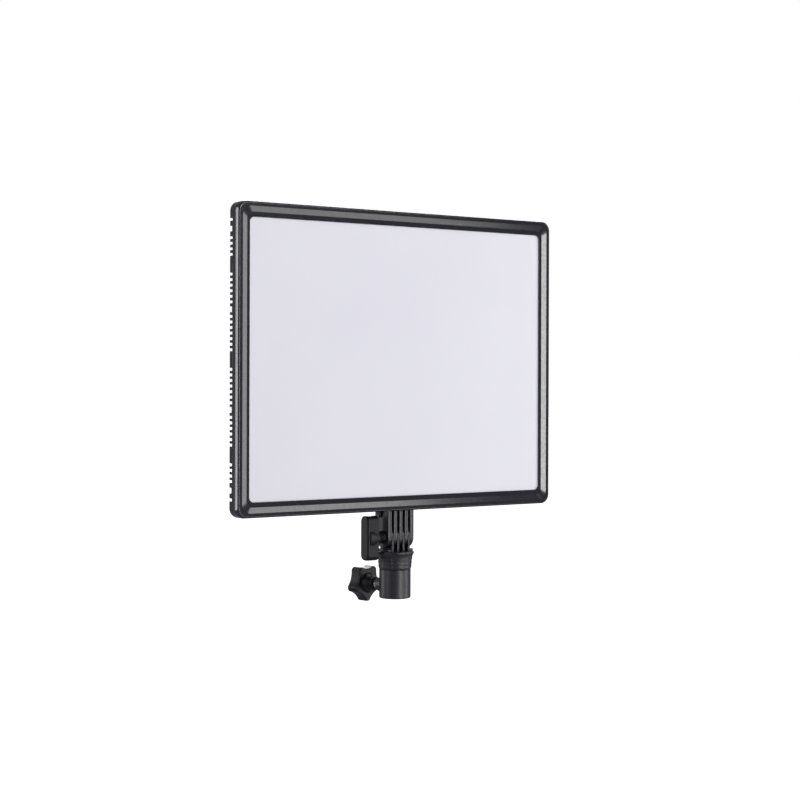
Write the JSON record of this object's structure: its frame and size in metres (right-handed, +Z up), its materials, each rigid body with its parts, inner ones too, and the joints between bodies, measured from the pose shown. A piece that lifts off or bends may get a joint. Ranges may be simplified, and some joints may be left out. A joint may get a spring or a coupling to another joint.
{
  "type": "led panel light",
  "caption": "Slim edge-lit LED panel light with side vents, a rear control housing and battery plate, on a tilting comb bracket with a stand-spigot receiver and lock knobs.",
  "frame": {"origin": "centre of the spigot socket's mouth, at the bottom of the barrel", "axes": "+Z up along the socket, -Y towards the light's front, +X to the right seen from the front"},
  "size_m": [0.3614, 0.0692, 0.3851],
  "materials": {
    "black_plastic": "fine-grained moulded black plastic",
    "grip_plastic": "moulded black plastic, slightly glossy",
    "diffuser": "milky matt acrylic",
    "light_guide": "clear acrylic with a printed dot pattern",
    "reflector": "white film",
    "spreader": "mill-finish sheet",
    "circuit_board": "solder-masked laminate",
    "led_chip": "phosphor-filled chip",
    "lead_film": "flat flexible lead",
    "steel": "zinc-plated steel",
    "black_steel": "blackened steel",
    "brass": "turned brass",
    "window": "smoked acrylic",
    "display": "display glass and frame",
    "component": "moulded electronic components",
    "contact": "gold-plated contact",
    "pad": "nylon"
  },
  "bodies": {
    "receiver": {"spigot_barrel": "black_plastic", "receiver_collar": "black_plastic", "collar_screw": "black_steel", "lock_insert": "brass"},
    "head": {"tilt_bracket": "black_plastic", "tilt_bolt": "steel", "front_bezel": "black_plastic", "rear_shell": "black_plastic", "diffuser_plate": "diffuser", "light_guide_plate": "light_guide", "reflector_sheet": "reflector", "heat_spreader": "spreader", "led_strip_left": "circuit_board", "led_strip_right": "circuit_board", "led_chips_left": "led_chip", "led_chips_right": "led_chip", "led_leads": "lead_film", "shell_screws": "black_steel", "bracket_screws": "black_steel", "housing_screws": "black_steel", "plate_screws": "steel", "control_housing": "black_plastic", "control_board": "circuit_board", "driver_board": "circuit_board", "driver_parts": "component", "board_standoffs": "brass", "display_module": "display", "display_window": "window", "brightness_encoder": "steel", "colour_encoder": "steel", "button_switches": "component", "power_switch_body": "grip_plastic", "dc_socket": "component", "dc_pin": "contact", "battery_plate": "grip_plastic", "battery_contacts": "contact"},
    "tilt_clamp": {"tilt_washer": "black_steel"},
    "wing": {"wing_knob": "grip_plastic", "wing_insert": "brass"},
    "spigot_clamp": {"pressure_pad": "pad"},
    "star": {"star_knob": "grip_plastic", "knob_cap": "grip_plastic", "lock_screw": "steel"},
    "brightness_control": {"brightness_dial": "grip_plastic", "brightness_shaft": "steel"},
    "colour_control": {"colour_dial": "grip_plastic", "colour_shaft": "steel"},
    "mode_key": {"mode_button": "grip_plastic"},
    "channel_key": {"channel_button": "grip_plastic"},
    "scene_key": {"scene_button": "grip_plastic"},
    "rocker": {"power_rocker": "grip_plastic"},
    "latch": {"battery_latch": "grip_plastic"}
  },
  "joints": [
    {"name": "tilt", "type": "hinge", "parent": "receiver", "child": "head", "pos_m": [0, 0, 0.0598], "axis": [1, 0, 0], "range_deg": [-90, 90]},
    {"name": "tilt_lock_travel", "type": "slide", "parent": "head", "child": "tilt_clamp", "axis": [-1, 0, 0], "range_m": [0, 0.002]},
    {"name": "tilt_lock_turn", "type": "hinge", "parent": "tilt_clamp", "child": "wing", "pos_m": [0, 0, 0.0598], "axis": [-1, 0, 0], "range_deg": [0, 722]},
    {"name": "spigot_lock_travel", "type": "slide", "parent": "receiver", "child": "spigot_clamp", "axis": [-0.2588, 0.9659, 0], "range_m": [0, 0.00375]},
    {"name": "spigot_lock_turn", "type": "hinge", "parent": "spigot_clamp", "child": "star", "pos_m": [0, 0, 0.0113], "axis": [-0.2588, 0.9659, 0], "range_deg": [0, 1082]},
    {"name": "brightness_turn", "type": "hinge", "parent": "head", "child": "brightness_control", "pos_m": [0.05, 0.0253, 0.229], "axis": [0, 1, 0], "continuous": true},
    {"name": "colour_turn", "type": "hinge", "parent": "head", "child": "colour_control", "pos_m": [-0.05, 0.0253, 0.229], "axis": [0, 1, 0], "continuous": true},
    {"name": "mode_press", "type": "slide", "parent": "head", "child": "mode_key", "axis": [0, -1, 0], "range_m": [0, 0.0008], "stiffness_N_per_m": 300, "springref_m": -0.0006},
    {"name": "channel_press", "type": "slide", "parent": "head", "child": "channel_key", "axis": [0, -1, 0], "range_m": [0, 0.0008], "stiffness_N_per_m": 300, "springref_m": -0.0006},
    {"name": "scene_press", "type": "slide", "parent": "head", "child": "scene_key", "axis": [0, -1, 0], "range_m": [0, 0.0008], "stiffness_N_per_m": 300, "springref_m": -0.0006},
    {"name": "power_rock", "type": "hinge", "parent": "head", "child": "rocker", "pos_m": [0.05, 0.0259, 0.166], "axis": [1, 0, 0], "range_deg": [-14, 0]},
    {"name": "battery_latch_press", "type": "slide", "parent": "head", "child": "latch", "axis": [0, -1, 0], "range_m": [0, 0.0045], "stiffness_N_per_m": 200, "springref_m": -0.002}
  ],
  "couplings": [
    {"joint": "tilt_lock_turn", "follows": "tilt_lock_travel", "rad_per_m": 6283.2},
    {"joint": "spigot_lock_turn", "follows": "spigot_lock_travel", "rad_per_m": 5026.5}
  ]
}
